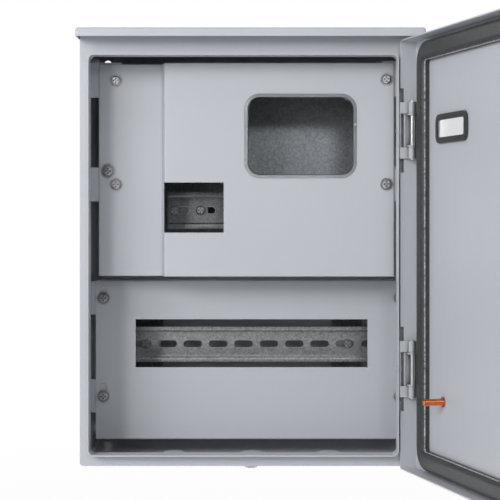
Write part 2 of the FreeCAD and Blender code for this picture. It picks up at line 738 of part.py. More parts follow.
def make_breaker_cover():
    body = new_body("breaker_cover")
    back = breaker_face + d.sheet
    return_end = breaker_face + d.breaker_return
    sketch = side_sketch(body, -breaker_side)
    draw_outline(sketch, [
        (breaker_face, breaker_bottom),
        (breaker_face, breaker_top),
        (return_end, breaker_top),
        (return_end, breaker_top - d.sheet),
        (back, breaker_top - d.sheet),
        (back, breaker_bottom + d.sheet),
        (return_end, breaker_bottom + d.sheet),
        (return_end, breaker_bottom),
    ])
    pad(body, sketch, breaker_side * 2)
    for radius, along, inset in ((d.cover_bend, breaker_face, zero), (d.cover_bend - d.sheet, back, d.sheet)):
        round_edges(body, radius, lambda edge: runs_along(edge, "x") and (
            stands_at(edge, y=along, z=breaker_top - inset)
            or stands_at(edge, y=along, z=breaker_bottom + inset)))
    sketch = front_sketch(body, breaker_face)
    half_slot = d.breaker_slot_width / 2
    draw_rectangle(sketch, -half_slot, half_slot, breaker_slot_bottom, breaker_slot_top)
    for side in (-1, 1):
        for up in (breaker_screw_bottom, breaker_screw_top):
            across = breaker_screw_side * side
            draw_slot(sketch, (across, up), (across, up + d.keyhole_rise), d.keyhole_width / 2)
    pocket(body, sketch, d.sheet)


def make_bracket(name, side, up, face, screws, head=zero):
    """An angle on the shell's side wall, with a front leg that takes the cover's screws."""
    body = new_body(name)
    wall = inner_side * side
    inward = -side
    leg_end = wall + d.bracket_leg * inward
    leg_back = face + d.bracket_sheet
    side_face = wall + d.bracket_sheet * inward
    side_end = face + d.bracket_side
    sketch = top_sketch(body, up - d.bracket_height / 2)
    draw_outline(sketch, [
        (wall, face),
        (leg_end, face),
        (leg_end, leg_back),
        (side_face, leg_back),
        (side_face, side_end),
        (wall, side_end),
    ])
    pad(body, sketch, d.bracket_height + head)
    round_edges(body, d.bracket_bend, lambda edge: runs_along(edge, "z") and stands_at(edge, x=wall, y=face))
    round_edges(body, d.bracket_bend - d.bracket_sheet, lambda edge: runs_along(edge, "z")
                and stands_at(edge, x=side_face, y=leg_back))
    sketch = front_sketch(body, face)
    for screw_across, screw_up in screws:
        draw_circle(sketch, screw_across, screw_up, thread_radius)
    pocket(body, sketch, d.bracket_sheet)


def make_brackets():
    meter_sides = (("left", -1, meter_screw_left, strip_face), ("right", 1, meter_screw_right, raised_face))
    meter_rows = (("top", meter_screw_top), ("bottom", meter_screw_bottom))
    for side_name, side, across, face in meter_sides:
        for row_name, up in meter_rows:
            screws = [(across, up)]
            if (side_name, row_name) == ("left", "bottom"):
                screws.append((seal_screw_across, seal_screw_up))
            head = d.bracket_head if row_name == "top" else zero
            make_bracket(f"bracket_meter_{side_name}_{row_name}", side, up, face + d.sheet, screws, head)
    breaker_rows = (("top", breaker_screw_top), ("bottom", breaker_screw_bottom))
    for side_name, side in (("left", -1), ("right", 1)):
        for row_name, up in breaker_rows:
            screws = [(breaker_screw_side * side, up)]
            make_bracket(f"bracket_breaker_{side_name}_{row_name}", side, up, breaker_face + d.sheet, screws)


def make_screw(name, head_diameter, head_height, length, is_node=False):
    """A pan-head screw with a cross recess: head towards the front, its underside at the origin."""
    body = new_body(name, is_node)
    head = head_diameter / 2
    ease = head_height / 2
    sketch = side_sketch(body, zero)
    draw_outline(sketch, [
        (-head_height, zero),
        (-head_height, head - ease),
        (-ease, head),
        (zero, head),
        (zero, screw_radius),
        (length, screw_radius),
        (length, zero),
    ])
    revolve(body, sketch, "Y_Axis")
    arm = head * 0.62
    half = head * 0.16
    sketch = front_sketch(body, -head_height)
    draw_outline(sketch, [
        (-arm, -half), (-half, -half), (-half, -arm), (half, -arm), (half, -half), (arm, -half),
        (arm, half), (half, half), (half, arm), (-half, arm), (-half, half), (-arm, half),
    ])
    pocket(body, sketch, head_height * 0.5)
    return body


def make_washer(name, diameter, thickness, bore_radius, is_node=False):
    """A ring about the Y axis whose back face is at the origin."""
    body = new_body(name, is_node)
    sketch = front_sketch(body, zero)
    draw_circle(sketch, zero, zero, diameter / 2)
    draw_circle(sketch, zero, zero, bore_radius)
    pad(body, sketch, thickness)
    return body


def make_cover_screws():
    cover_screw = make_screw("cover_screw", d.cover_head_diameter, d.cover_head_height, d.screw_length)
    washer = make_washer("cover_washer", d.washer_diameter, d.washer_thickness, thread_radius)
    sides = ((meter_screw_left, strip_face), (meter_screw_right, raised_face))
    seats = [(x, y, z) for x, y in sides for z in (meter_screw_top, meter_screw_bottom)]
    group("meter_cover_washers", washer, seats)
    group("meter_cover_screws", cover_screw, [(x, y - d.washer_thickness, z) for x, y, z in seats])

    seal_washer = make_washer("seal_washer", d.seal_washer_diameter, d.washer_thickness, thread_radius, True)
    move_to(seal_washer, seal_screw_across, strip_face, seal_screw_up)
    seal_screw = make_screw("seal_screw", d.cover_head_diameter, d.cover_head_height, d.screw_length, True)
    move_to(seal_screw, seal_screw_across, strip_face - d.washer_thickness, seal_screw_up)

    breaker_washer = make_washer(
        "breaker_washer", d.breaker_washer_diameter, d.washer_thickness, thread_radius)
    seats = [(breaker_screw_side * side, breaker_face, up)
             for side in (-1, 1) for up in (breaker_screw_top, breaker_screw_bottom)]
    group("breaker_cover_washers", breaker_washer, seats)
    group("breaker_cover_screws", cover_screw, [(x, y - d.washer_thickness, z) for x, y, z in seats])


# Rails and the meter plate

def hat_outline(rim, crown, toward, rim_half, crown_half, sheet, up):
    """A hat section in the side view: two rims at one Y and a crown at the other."""
    rim_inside = rim + sheet * toward
    crown_inside = crown - sheet * toward
    wall = crown_half - sheet
    upper = [(rim, rim_half), (rim, wall), (crown_inside, wall)]
    lower = [(crown_inside, -wall), (rim, -wall), (rim, -rim_half)]
    far_lower = [(rim_inside, -rim_half), (rim_inside, -crown_half), (crown, -crown_half)]
    far_upper = [(crown, crown_half), (rim_inside, crown_half), (rim_inside, rim_half)]
    return [(along, height + up) for along, height in upper + lower + far_lower + far_upper]


def slot_count(length, start):
    """How many whole slots a rail takes."""
    room = (length - start - d.rail_slot_length / 2).value
    return int(room / d.rail_slot_pitch.value) + 1


def make_rail(name, left, length, back, up, start):
    body = new_body(name)
    rim = back - d.rail_depth
    sketch = side_sketch(body, left)
    draw_outline(sketch, hat_outline(rim, back, 1, d.rail_width / 2, d.rail_web / 2, d.rail_sheet, up))
    pad(body, sketch, length)
    sketch = front_sketch(body, back - d.rail_sheet)
    reach = (d.rail_slot_length - d.rail_slot_width) / 2
    middle = left + start
    draw_slot(sketch, (middle - reach, up), (middle + reach, up), d.rail_slot_width / 2)
    slot = pocket(body, sketch, d.rail_sheet)
    row = body.newObject("PartDesign::LinearPattern", f"{name}_slots")
    row.Originals = [slot]
    row.Direction = (origin_feature(body, "X_Axis"), [""])
    row.Occurrences = slot_count(length, start)
    bind(row, "Length", d.rail_slot_pitch * (slot_count(length, start) - 1))
    body.Tip = row
    doc.recompute()


def make_support(name, middle, width, base, depth, up, screws):
    """A hat-shaped support: feet on what carries it, screws through its crown."""
    body = new_body(name)
    crown = base - depth
    rim_half = d.support_crown / 2 + d.support_foot
    sketch = side_sketch(body, middle - width / 2)
    draw_outline(sketch, hat_outline(base, crown, -1, rim_half, d.support_crown / 2, d.bracket_sheet, up))
    pad(body, sketch, width)
    sketch = front_sketch(body, crown)
    for across in screws:
        draw_circle(sketch, across, up, thread_radius)
    pocket(body, sketch, d.bracket_sheet)


def make_rails():
    rail_screw = make_screw("rail_screw", d.rail_head_diameter, d.cover_head_height, d.screw_length)

    length = lower_rail_right - lower_rail_left
    make_rail("lower_rail", lower_rail_left, length, lower_rail_back, lower_rail_up, d.lower_slot_start)
    first = lower_rail_left + d.lower_slot_start + d.rail_screw_shift
    last_but_one = slot_count(length, d.lower_slot_start) - 2
    places = [first + d.rail_slot_pitch * number for number in (1, last_but_one)]
    for side_name, across in zip(("left", "right"), places):
        make_support(f"lower_rail_support_{side_name}", across, d.support_width, inner_back, d.support_depth,
                     lower_rail_up, [across])
    group("lower_rail_screws", rail_screw,
          [(across, lower_rail_back - d.rail_sheet, lower_rail_up) for across in places])

    make_rail("upper_rail", upper_rail_left, d.upper_rail_length, upper_rail_back, upper_rail_up,
              d.upper_slot_start)
    first = upper_rail_left + d.upper_slot_start - d.upper_screw_shift
    places = [first + d.rail_slot_pitch * number for number in (0, 1)]
    middle = (places[0] + places[1]) / 2
    make_support("upper_rail_support", middle, d.upper_support_width, plate_front, d.support_depth,
                 upper_rail_up, places)
    group("upper_rail_screws", rail_screw,
          [(across, upper_rail_back - d.rail_sheet, upper_rail_up) for across in places])


def make_meter_plate():
    body = new_body("meter_plate")
    sketch = front_sketch(body, plate_back)
    draw_rectangle(sketch, -plate_side, plate_side, plate_bottom, plate_top)
    pad(body, sketch, d.bracket_sheet)
    round_edges(body, d.plate_radius, lambda edge: runs_along(edge, "y"))
    sketch = front_sketch(body, plate_front)
    for side in (-1, 1):
        for up in (bar_bottom, bar_top):
            draw_circle(sketch, plate_screw_side * side, up, thread_radius)
    pocket(body, sketch, d.bracket_sheet)

    width = (plate_side - d.bar_end_gap) * 2
    screws = [-plate_screw_side, plate_screw_side]
    for row_name, up in (("top", bar_top), ("bottom", bar_bottom)):
        make_support(f"meter_plate_bar_{row_name}", zero, width, inner_back, d.plate_standoff, up, screws)
    plate_screw = make_screw("plate_screw", d.rail_head_diameter, d.cover_head_height, d.screw_length)
    group("meter_plate_screws", plate_screw,
          [(across, plate_front, up) for across in screws for up in (bar_top, bar_bottom)])


# Door and hinges

def make_door_panel():
    body = new_body("door_panel")
    sketch = front_sketch(body, door_edge)
    draw_rectangle(sketch, -door_side, door_side, door_bottom, door_top)
    pad(body, sketch, door_edge - door_outer)
    round_edges(body, d.door_bend, lambda edge: runs_along(edge, "y") or lies_in(edge, "Y", door_outer))
    inside = (d.sheet - door_side, door_side - d.sheet, door_bottom + d.sheet, door_top - d.sheet)
    sketch = front_sketch(body, door_edge)
    draw_rectangle(sketch, *inside)
    pocket(body, sketch, door_edge - door_inner, along_normal=True)
    corners = [(x, z) for x in inside[:2] for z in inside[2:]]
    round_edges(body, d.door_bend - d.sheet, lambda edge: lies_in(edge, "Y", door_inner) or (
        runs_along(edge, "y") and any(stands_at(edge, x=x, z=z) for x, z in corners)))

    sketch = side_sketch(body, door_side - d.sheet)
    for up in (upper_hinge_up, lower_hinge_up):
        draw_rectangle(sketch, door_edge - d.notch_depth, door_edge,
                       up - d.notch_height / 2, up + d.notch_height / 2)
    pocket(body, sketch, d.sheet, along_normal=True)

    sketch = front_sketch(body, door_outer)
    draw_circle(sketch, lock_across, zero, d.lock_diameter / 2 + d.screw_play)
    draw_door_window(sketch, zero)
    pocket(body, sketch, d.sheet)
    open_door(body)


def draw_door_window(sketch, grow):
    """The door window's outline, made larger all round."""
    half = d.door_window_height / 2 + grow
    draw_rounded(sketch, door_window_left - grow, door_window_right + grow,
                 door_window_middle - half, door_window_middle + half, d.door_window_radius + grow)


def make_door_window():
    """The pane lies on the door's inner face, in a rubber frame."""
    pane = new_body("door_window_pane")
    sketch = front_sketch(pane, door_inner + d.pane_wall)
    draw_door_window(sketch, d.seal_lap)
    pad(pane, sketch, d.pane_wall)
    open_door(pane)

    seal = new_body("door_window_seal")
    sketch = front_sketch(seal, door_inner + d.seal_height)
    draw_door_window(sketch, d.seal_lap * 2)
    draw_door_window(sketch, zero)
    pad(seal, sketch, d.seal_height)
    sketch = front_sketch(seal, door_inner)
    draw_door_window(sketch, d.seal_lap + d.screw_play)
    pocket(seal, sketch, d.pane_wall)
    open_door(seal)


def make_gasket():
    """A rounded bead on the door's inner face that meets the tip of the lip."""
    body = new_body("door_gasket")
    crest = lip_tip - d.gasket_gap
    sketch = front_sketch(body, crest)
    for inset in (zero, d.gasket_width):
        beside = d.sheet + d.gasket_side_lap - inset
        beyond = d.sheet + d.gasket_end_lap - inset
        draw_rounded(sketch, opening_left - beside, opening_right + beside,
                     opening_bottom - beyond, opening_top + beyond, d.gasket_radius - inset)
    pad(body, sketch, crest - door_inner)
    round_edges(body, d.gasket_crown, lambda edge: lies_in(edge, "Y", crest))
    open_door(body)


def make_hinge(name, up):
    half_space = d.knuckle_space / 2
    reach = half_space + d.knuckle_height
    pin_hole = d.pin_diameter / 2 + d.pin_play

    leaf = new_body(f"{name}_hinge_leaf")
    root = opening_right + d.sheet
    strap_back = axis_along + barrel_radius
    strap_front = strap_back - d.hinge_sheet
    sketch = top_sketch(leaf, up - reach)
    draw_rectangle(sketch, root, root + d.hinge_sheet, strap_front, leaf_back)
    pad(leaf, sketch, reach * 2)
    for bottom in (up - reach, up + half_space):
        sketch = top_sketch(leaf, bottom)
        draw_rectangle(sketch, root, axis_across, strap_front, strap_back)
        pad(leaf, sketch, d.knuckle_height)
        sketch = top_sketch(leaf, bottom)
        draw_circle(sketch, axis_across, axis_along, barrel_radius)
        pad(leaf, sketch, d.knuckle_height)
    sketch = top_sketch(leaf, up + reach)
    draw_circle(sketch, axis_across, axis_along, pin_hole)
    pocket(leaf, sketch, reach * 2)
    sketch = side_sketch(leaf, root + d.hinge_sheet)
    draw_circle(sketch, rivet_along, up, d.rivet_diameter / 2 + d.screw_play)
    pocket(leaf, sketch, d.hinge_sheet)
    round_edges(leaf, d.hinge_sheet * 0.8, lambda edge: runs_along(edge, "z")
                and stands_at(edge, x=root, y=strap_front))

    bracket = new_body(f"{name}_hinge_bracket")
    ear_top = half_space - d.hinge_play
    base_face = door_side - d.sheet
    sketch = top_sketch(bracket, up - ear_top)
    draw_rectangle(sketch, base_face - d.hinge_sheet, base_face,
                   axis_along - d.bracket_reach, axis_along + d.ear_radius)
    pad(bracket, sketch, ear_top * 2)
    for bottom in (up - ear_top, up + ear_top - d.hinge_sheet):
        sketch = top_sketch(bracket, bottom)
        draw_rectangle(sketch, axis_across, base_face, axis_along - d.ear_radius, axis_along + d.ear_radius)
        pad(bracket, sketch, d.hinge_sheet)
        sketch = top_sketch(bracket, bottom)
        draw_circle(sketch, axis_across, axis_along, d.ear_radius)
        pad(bracket, sketch, d.hinge_sheet)
    sketch = top_sketch(bracket, up + ear_top)
    draw_circle(sketch, axis_across, axis_along, pin_hole)
    pocket(bracket, sketch, ear_top * 2)
    open_door(bracket)

    pin = new_body(f"{name}_hinge_pin")
    sketch = top_sketch(pin, up - reach - d.pin_proud)
    draw_circle(sketch, axis_across, axis_along, d.pin_diameter / 2)
    pad(pin, sketch, (reach + d.pin_proud) * 2)
    open_door(pin)


def make_hinge_rivets():
    """Rivets that hold the hinge leaves to the lip, with a head on both sides."""
    rivet = new_body("hinge_rivet", is_node=False)
    stack = d.sheet + d.hinge_sheet
    shank = d.rivet_diameter / 2
    head = d.rivet_head_diameter / 2
    height = d.rivet_head_height
    ease = height / 2
    sketch = top_sketch(rivet, zero)
    draw_outline(sketch, [
        (-height, zero),
        (-height, head - ease),
        (-ease, head),
        (zero, head),
        (zero, shank),
        (stack, shank),
        (stack, head),
        (stack + ease, head),
        (stack + height, head - ease),
        (stack + height, zero),
    ])
    revolve(rivet, sketch, "X_Axis")
    group("hinge_rivets", rivet,
          [(opening_right, rivet_along, up) for up in (upper_hinge_up, lower_hinge_up)])


# Lock and earthing

def make_lock():
    plug_radius = d.lock_plug_diameter / 2
    body_end = door_inner + d.lock_nut_height * 2
    collar_front = door_outer - d.lock_collar_height
    collar_ease = d.lock_collar_height / 2

    housing = new_body("lock_housing")
    bore = plug_radius + d.lock_plug_play
    collar = d.lock_collar_diameter / 2
    thread = d.lock_diameter / 2
    sketch = side_sketch(housing, zero)
    draw_outline(sketch, [
        (collar_front, bore),
        (collar_front, collar - collar_ease),
        (collar_front + collar_ease, collar),
        (door_outer, collar),
        (door_outer, thread),
        (body_end, thread),
        (body_end, bore),
    ])
    revolve(housing, sketch, "Y_Axis")

    nut = new_body("lock_nut")
    sketch = front_sketch(nut, door_inner + d.lock_nut_height)
    draw_outline(sketch, hexagon(d.lock_nut_across))
    draw_circle(sketch, zero, zero, thread + d.screw_play)
    pad(nut, sketch, d.lock_nut_height)

    plug = new_body("lock_plug")
    cam_back = cam_front + d.cam_thickness
    half_square = d.cam_square / 2
    sketch = front_sketch(plug, cam_front)
    draw_circle(sketch, zero, zero, plug_radius)
    pad(plug, sketch, cam_front - collar_front)
    sketch = front_sketch(plug, cam_back)
    draw_rectangle(sketch, -half_square, half_square, -half_square, half_square)
    pad(plug, sketch, d.cam_thickness)
    sketch = front_sketch(plug, collar_front)
    reach = d.driver_width / math.sqrt(3)
    turns = [math.radians(90 + 120 * i) for i in range(3)]
    draw_outline(sketch, [(reach * math.cos(turn), reach * math.sin(turn)) for turn in turns])
    pocket(plug, sketch, d.driver_depth)
    sketch = front_sketch(plug, cam_back)
    draw_circle(sketch, zero, zero, d.screw_diameter / 2 + d.screw_play)
    pocket(plug, sketch, d.screw_length / 2, along_normal=True)

    cam = new_body("lock_cam")
    reach = lock_across - (opening_left - d.sheet) + d.cam_overlap - d.cam_width / 2
    hole = half_square + d.screw_play
    sketch = front_sketch(cam, cam_back)
    draw_slot(sketch, (zero, zero), (zero, reach), d.cam_width / 2)
    draw_rectangle(sketch, -hole, hole, -hole, hole)
    pad(cam, sketch, d.cam_thickness)

    screw = make_screw("lock_cam_screw", d.cover_head_diameter, d.cover_head_height, d.screw_length / 2, True)
    turn = f"rotation(vector(0; 0; 1); {d.door_open_degrees.text})"
    centre = f"vector({axis_across.text}; {axis_along.text}; 0)"
    opened = f"placement(vector(0; 0; 0); {turn}; {centre})"
    for piece in (housing, nut, plug, cam):
        piece.setExpression("Placement", f"{opened} * placement(vector({lock_across.text}; 0; 0); {no_turn()})")
    about = "rotation(vector(0; 0; 1); 180)"
    seat = f"placement(vector({lock_across.text}; {cam_back.text}; 0); {about})"
    screw.setExpression("Placement", f"{opened} * {seat}")
    doc.recompute()


def no_turn():
    return "rotation(vector(0; 0; 1); 0)"


def make_door_stud():
    body = new_body("door_earth_stud")
    collar_end = door_inner + d.stud_collar_height
    tip = door_inner + d.stud_length
    across = door_side - d.stud_inset
    up = door_bottom + d.stud_rise
    sketch = front_sketch(body, collar_end)
    draw_circle(sketch, across, up, d.stud_collar_diameter / 2)
    pad(body, sketch, d.stud_collar_height)
    sketch = front_sketch(body, tip)
    draw_circle(sketch, across, up, d.stud_diameter / 2)
    pad(body, sketch, d.stud_length - d.stud_collar_height)
    bevel_edges(body, d.stud_collar_height, lambda edge: lies_in(edge, "Y", tip))
    open_door(body)


def make_earth_bolt():
    """A hexagon bolt up through the floor, with a washer on both sides and a nut inside."""
    under = -half_height
    washer_bottom = under - d.washer_thickness
    nut_bottom = d.washer_thickness - inner_top

    bolt = new_body("earth_bolt")
    sketch = top_sketch(bolt, washer_bottom - d.earth_head_height)
    draw_outline(sketch, hexagon(d.earth_head_across))
    pad(bolt, sketch, d.earth_head_height)
    sketch = top_sketch(bolt, washer_bottom)
    draw_circle(sketch, zero, zero, d.earth_diameter / 2)
    pad(bolt, sketch, d.earth_length)
    bind(bolt, "Placement.Base.y", earth_along)

    bore = d.earth_diameter / 2 + d.screw_play
    washer = new_body("earth_washer", is_node=False)
    sketch = top_sketch(washer, zero)
    draw_circle(sketch, zero, zero, d.earth_washer_diameter / 2)
    draw_circle(sketch, zero, zero, bore)
    pad(washer, sketch, d.washer_thickness)
    group("earth_washers", washer, [(zero, earth_along, washer_bottom), (zero, earth_along, -inner_top)])

    nut = new_body("earth_nut")
    sketch = top_sketch(nut, nut_bottom)
    draw_outline(sketch, hexagon(d.earth_head_across))
    draw_circle(sketch, zero, zero, bore)
    pad(nut, sketch, d.earth_nut_height)
    bind(nut, "Placement.Base.y", earth_along)
    doc.recompute()


def make_grommets():
    """Closed rubber grommets in the floor: a low cap inside, cut open to the cable's size."""
    grommet = new_body("cable_grommet", is_node=False)
    wall = d.grommet_wall
    neck = d.grommet_diameter / 2 - d.grommet_play
    rim = d.grommet_diameter / 2 + d.grommet_lap
    hollow = neck - wall
    flat = d.grommet_top_diameter / 2
    top = d.sheet + d.grommet_crown
    sketch = side_sketch(grommet, zero)
    draw_outline(sketch, [
        (hollow, -wall),
        (rim, -wall),
        (rim, zero),
        (neck, zero),
        (neck, d.sheet),
        (rim, d.sheet),
        (rim, d.sheet + wall / 2),
        (neck, d.sheet + wall),
        (flat, top),
        (zero, top),
        (zero, top - wall),
        (flat, top - wall),
        (hollow, d.sheet),
    ])
    revolve(grommet, sketch, "Z_Axis")
    group("cable_grommets", grommet,
          [(d.grommet_pitch * place, grommet_along, -half_height) for place in (-1, 0, 1)])


def check_document():
    """Stop if any object failed or any node has no sound solid."""
    doc.recompute()
    failed = [item.Name for item in doc.Objects if {"Invalid", "Error"} & set(item.State)]
    if failed:
        raise RuntimeError(f"failed: {failed}")
    for node in nodes:
        if node.Shape.isNull() or not node.Shape.isValid() or not node.Shape.Solids:
            raise RuntimeError(f"{node.Label} has no sound solid")


def write_parts():
    os.makedirs("parts", exist_ok=True)
    for node in nodes:
        node.Shape.exportStep(f"parts/{node.Label}.step")


make_shell()
make_canopy()
make_meter_cover()
make_meter_window()
make_breaker_cover()
make_brackets()
make_cover_screws()
make_rails()
make_meter_plate()
make_door_panel()
make_door_window()
make_gasket()
make_hinge("upper", upper_hinge_up)
make_hinge("lower", lower_hinge_up)
make_hinge_rivets()
make_lock()
make_door_stud()
make_earth_bolt()
make_grommets()
check_document()
write_parts()
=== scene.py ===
import json
import math

import bmesh
import bpy
from mathutils import Matrix, Vector


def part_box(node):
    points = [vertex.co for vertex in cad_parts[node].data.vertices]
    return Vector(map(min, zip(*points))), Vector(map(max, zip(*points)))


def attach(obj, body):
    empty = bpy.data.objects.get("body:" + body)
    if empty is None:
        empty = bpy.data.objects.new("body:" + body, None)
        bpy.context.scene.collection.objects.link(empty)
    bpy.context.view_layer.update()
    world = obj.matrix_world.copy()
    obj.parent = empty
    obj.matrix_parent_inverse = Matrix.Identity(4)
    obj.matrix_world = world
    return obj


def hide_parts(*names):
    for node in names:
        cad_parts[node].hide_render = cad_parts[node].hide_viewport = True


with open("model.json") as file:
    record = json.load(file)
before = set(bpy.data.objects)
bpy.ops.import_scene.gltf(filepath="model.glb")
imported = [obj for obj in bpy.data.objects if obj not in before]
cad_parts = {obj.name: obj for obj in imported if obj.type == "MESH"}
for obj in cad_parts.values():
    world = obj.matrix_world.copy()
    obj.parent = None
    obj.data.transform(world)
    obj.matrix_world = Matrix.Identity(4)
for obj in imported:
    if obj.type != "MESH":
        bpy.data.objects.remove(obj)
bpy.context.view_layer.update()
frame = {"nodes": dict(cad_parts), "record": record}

nodes = frame["nodes"]

# Camera: straight at the front, with a lens shift for the photograph's framing
IMAGE_PX = 500
SENSOR_MM = 36.0
FOCAL_PX = 1599.0
CAMERA_AT = (0.017, -1.615, 0.0279)
SHIFT = (-0.039, -0.064)
CLIP = (0.01, 100.0)


def make_camera():
    data = bpy.data.cameras.new("camera")
    data.sensor_width = SENSOR_MM
    data.lens = FOCAL_PX * SENSOR_MM / IMAGE_PX
    data.shift_x, data.shift_y = SHIFT
    data.clip_start, data.clip_end = CLIP
    camera = bpy.data.objects.new("camera", data)
    camera.location = CAMERA_AT
    camera.rotation_euler = (math.radians(90), 0, 0)
    bpy.context.scene.collection.objects.link(camera)
    bpy.context.scene.camera = camera


# Material building blocks
NOISE_SPAN = (0.3, 0.7)       # the part of a noise texture that holds its contrast
PAINTED_SHADE_SPAN = (0.35, 0.9)     # occlusion, from a closed hollow to an open surface, mapped to the painted shade
PAINTED_SHADE_SAMPLES = 12
PLASTIC_IOR = 1.46


class Shader:
    """A material with a Principled shader and short calls for the nodes that feed it."""

    def __init__(self, name, colour, roughness, metallic=0.0):
        self.material = bpy.data.materials.new(name)
        self.material.use_nodes = True
        self.tree = self.material.node_tree
        self.bsdf = self.tree.nodes["Principled BSDF"]
        self.coords = self.tree.nodes.new("ShaderNodeTexCoord").outputs["Object"]
        self.colour = colour
        self.bsdf.inputs["Base Color"].default_value = (*colour, 1.0)
        self.bsdf.inputs["Roughness"].default_value = roughness
        self.bsdf.inputs["Metallic"].default_value = metallic

    def link(self, output, target):
        self.tree.links.new(output, target)

    def make_clear(self, weight):
        self.bsdf.inputs["Transmission Weight"].default_value = weight
        self.bsdf.inputs["IOR"].default_value = PLASTIC_IOR

    def stretched(self, scale):
        mapping = self.tree.nodes.new("ShaderNodeMapping")
        mapping.inputs["Scale"].default_value = scale
        self.link(self.coords, mapping.inputs["Vector"])
        return mapping.outputs["Vector"]

    def noise(self, scale, detail, roughness=0.5, stretch=None):
        texture = self.tree.nodes.new("ShaderNodeTexNoise")
        texture.inputs["Scale"].default_value = scale
        texture.inputs["Detail"].default_value = detail
        texture.inputs["Roughness"].default_value = roughness
        vector = self.stretched(stretch) if stretch else self.coords
        self.link(vector, texture.inputs["Vector"])
        return texture.outputs["Fac"]

    def ranged(self, value, low, high, span):
        node = self.tree.nodes.new("ShaderNodeMapRange")
        node.inputs["From Min"].default_value, node.inputs["From Max"].default_value = span
        node.inputs["To Min"].default_value = low
        node.inputs["To Max"].default_value = high
        self.link(value, node.inputs["Value"])
        return node.outputs["Result"]

    def vary_colour(self, value, low, high):
        """The base colour, darker and lighter by these factors along a texture."""
        ramp = self.tree.nodes.new("ShaderNodeValToRGB")
        ends = ramp.color_ramp.elements
        ends[0].position, ends[1].position = NOISE_SPAN
        ends[0].color = (*(low * c for c in self.colour), 1.0)
        ends[1].color = (*(min(high * c, 1.0) for c in self.colour), 1.0)
        self.link(value, ramp.inputs["Fac"])
        self.link(ramp.outputs["Color"], self.bsdf.inputs["Base Color"])

    def paint_hollow_shade(self, distance, low):
        """Painted shade: a colour darkened by occlusion in recesses and along joints, after
        vary_colour.
        """
        reach = self.tree.nodes.new("ShaderNodeAmbientOcclusion")
        reach.samples = PAINTED_SHADE_SAMPLES
        reach.inputs["Distance"].default_value = distance
        blend = self.tree.nodes.new("ShaderNodeMix")
        blend.data_type = "RGBA"
        blend.blend_type = "MULTIPLY"
        blend.inputs["Factor"].default_value = 1.0
        self.link(self.bsdf.inputs["Base Color"].links[0].from_socket, blend.inputs["A"])
        self.link(self.ranged(reach.outputs["AO"], low, 1.0, PAINTED_SHADE_SPAN), blend.inputs["B"])
        self.link(blend.outputs["Result"], self.bsdf.inputs["Base Color"])

    def vary_roughness(self, value, low, high):
        self.link(self.ranged(value, low, high, NOISE_SPAN), self.bsdf.inputs["Roughness"])

    def bump(self, value, distance, strength):
        node = self.tree.nodes.new("ShaderNodeBump")
        node.inputs["Distance"].default_value = distance
        node.inputs["Strength"].default_value = strength
        self.link(value, node.inputs["Height"])
        self.link(node.outputs["Normal"], self.bsdf.inputs["Normal"])


# Materials
PAINT = (0.51, 0.525, 0.558)


def powder_coat(name="powder_coat", level=1.0, hollow=0.0018, shade=0.6):
    shader = Shader(name, tuple(c * level for c in PAINT), 0.5)
    shader.vary_colour(shader.noise(9.0, detail=3.0), 0.985, 1.015)
    # painted shade in recesses and along joints
    shader.paint_hollow_shade(hollow, shade)
    grain = shader.noise(900.0, detail=2.0, roughness=0.55)
    shader.vary_roughness(grain, 0.34, 0.48)
    shader.bump(grain, 0.00012, strength=0.35)
    return shader.material


def rail_zinc(name="rail_zinc", level=0.68):
    shader = Shader(name, (level, level * 1.01, level * 1.03), 0.35, metallic=1.0)
    shader.vary_colour(shader.noise(480.0, detail=4.0, roughness=0.75), 0.65, 1.35)
    shader.vary_roughness(shader.noise(900.0, detail=3.0, roughness=0.6), 0.33, 0.37)
    # painted shade in recesses
    shader.paint_hollow_shade(0.0025, 0.5)
    shader.bump(shader.noise(1300.0, detail=2.0), 0.00003, strength=0.35)
    return shader.material


def zinc():
    shader = Shader("zinc", (0.37, 0.375, 0.39), 0.3, metallic=1.0)
    shader.vary_colour(shader.noise(460.0, detail=4.0, roughness=0.75), 0.6, 1.4)
    streaks = shader.noise(700.0, detail=4.0, roughness=0.7, stretch=(1.0, 1.0, 0.12))
    shader.vary_roughness(streaks, 0.285, 0.32)
    shader.bump(shader.noise(1300.0, detail=2.0), 0.00003, strength=0.35)
    return shader.material


def fine_grained(name, colour, roughness, tint, sheen, grain,
                 metallic=1.0, hollow=None, stretch=None):
    """A surface with noise in its colour, its roughness and its height.

    tint and sheen hold a noise scale and the lowest and highest value, grain a noise scale
    and a height, hollow the reach and the darkest value of the painted shade in recesses.
    """
    shader = Shader(name, colour, roughness, metallic)
    scale, low, high = tint
    shader.vary_colour(shader.noise(scale, detail=3.0, stretch=stretch), low, high)
    # painted shade in recesses
    if hollow:
        shader.paint_hollow_shade(*hollow)
    scale, low, high = sheen
    shader.vary_roughness(shader.noise(scale, detail=2.0), low, high)
    scale, height = grain
    shader.bump(shader.noise(scale, detail=2.0), height, strength=0.3)
    return shader.material


def bright_steel():
    return fine_grained("bright_steel", (0.62, 0.628, 0.64), 0.38, tint=(300.0, 0.86, 1.05),
                        sheen=(900.0, 0.32, 0.44), grain=(1500.0, 0.00004), hollow=(0.0016, 0.15))


def washer_steel():
    return fine_grained("washer_steel", (0.45, 0.457, 0.47), 0.36, tint=(500.0, 0.8, 1.15),
                        sheen=(900.0, 0.3, 0.42), grain=(1500.0, 0.00004), hollow=(0.0016, 0.2))


def pin_steel():
    return fine_grained("pin_steel", (0.7, 0.705, 0.71), 0.42, tint=(300.0, 0.9, 1.05),
                        sheen=(900.0, 0.38, 0.46), grain=(1500.0, 0.00003),
                        stretch=(1.0, 1.0, 0.2))


def lock_metal():
    return fine_grained("lock_metal", (0.58, 0.58, 0.57), 0.25, tint=(120.0, 0.9, 1.05),
                        sheen=(600.0, 0.18, 0.34), grain=(900.0, 0.00004))


def copper():
    return fine_grained("copper", (0.72, 0.24, 0.09), 0.34, tint=(500.0, 0.8, 1.08),
                        sheen=(900.0, 0.26, 0.44), grain=(1200.0, 0.00004))


